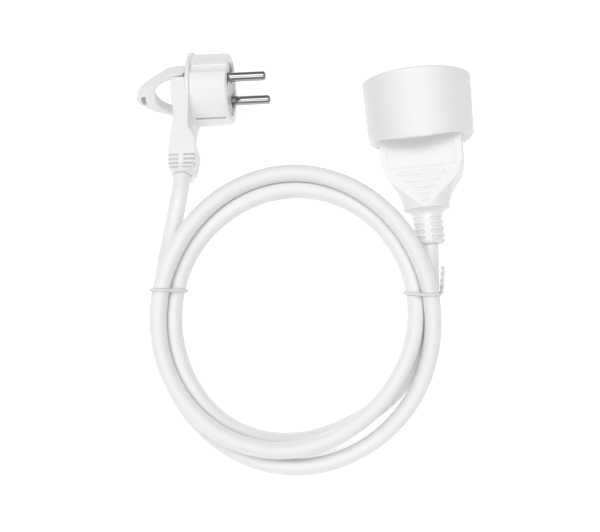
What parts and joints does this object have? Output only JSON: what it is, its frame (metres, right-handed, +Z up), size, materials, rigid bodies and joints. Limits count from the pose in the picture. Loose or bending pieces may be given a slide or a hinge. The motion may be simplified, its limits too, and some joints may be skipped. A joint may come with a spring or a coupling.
{
  "type": "extension cord",
  "caption": "White extension cord wound into a tied coil, with a round earthed plug that has a hinged pull ring, and a round earthed coupler.",
  "frame": {"origin": "on the surface the cord lies on, under the middle of the box round the plug and the coupler", "axes": "+Z up; +X from the plug towards the coupler, the plug's pins point along it; +Y towards the back, where the coupler opens, with the coil at the front"},
  "size_m": [0.171, 0.2121, 0.0571],
  "materials": {
    "white_overmould": "satin",
    "white_cable": "satin",
    "white_ring": "satin",
    "white_insert": "semi-gloss",
    "white_tie": "satin",
    "nickel": "polished",
    "brass": "bright",
    "brown_core": "satin",
    "blue_core": "satin",
    "green_core": "satin"
  },
  "bodies": {
    "cord_set": {"plug_body": "white_overmould", "plug_insert": "white_insert", "plug_live_pin": "nickel", "plug_neutral_pin": "nickel", "plug_earth_strip": "nickel", "plug_earth_sleeve": "brass", "plug_live_core": "brown_core", "plug_neutral_core": "blue_core", "plug_earth_core": "green_core", "coupler_body": "white_overmould", "coupler_insert": "white_insert", "coupler_live_contact": "brass", "coupler_neutral_contact": "brass", "coupler_earth_clip": "nickel", "coupler_live_core": "brown_core", "coupler_neutral_core": "blue_core", "coupler_earth_core": "green_core", "cord_plug_lead": "white_cable", "cord_coil": "white_cable", "cord_coupler_lead": "white_cable", "tie_left": "white_tie", "tie_right": "white_tie"},
    "ring": {"pull_ring": "white_ring"}
  },
  "joints": [
    {"name": "ring_hinge", "type": "hinge", "parent": "cord_set", "child": "ring", "pos_m": [-0.06056, 0.0304, 0.01927], "axis": [0.1017, -0.3033, -0.9474], "range_deg": [0, 88]}
  ]
}
